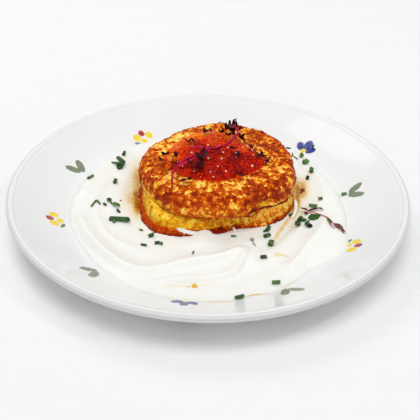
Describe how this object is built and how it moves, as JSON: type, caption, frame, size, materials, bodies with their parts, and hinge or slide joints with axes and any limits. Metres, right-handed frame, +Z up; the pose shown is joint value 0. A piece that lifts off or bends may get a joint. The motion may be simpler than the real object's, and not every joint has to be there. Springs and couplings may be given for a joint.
{
  "type": "potato pancakes with sour cream and roe on a plate",
  "caption": "Thick fried potato pancakes stacked on a swirled bed of sour cream, topped with fish roe and red cress, on a white coupe plate.",
  "frame": {"origin": "centre of the plate's foot, on the surface the plate stands on", "axes": "+Z up; -Y towards the serving side, where the torn side of the lower pancake shows"},
  "size_m": [0.2798, 0.2798, 0.056],
  "materials": {
    "plate": "smooth white glaze with a small painted pattern on the wall",
    "sour_cream": "thick white sour cream, softly shiny",
    "pancake_lower": "golden brown fried crust with a torn yellow side",
    "pancake_upper": "golden to dark brown fried crust, mottled and rough",
    "roe": "wet orange-red eggs",
    "red_cress": "magenta stems and dark purple leaves"
  },
  "bodies": {
    "root": {"plate": "plate", "sour_cream": "sour_cream", "pancake_lower": "pancake_lower", "pancake_upper": "pancake_upper", "roe": "roe", "red_cress": "red_cress"}
  },
  "joints": []
}
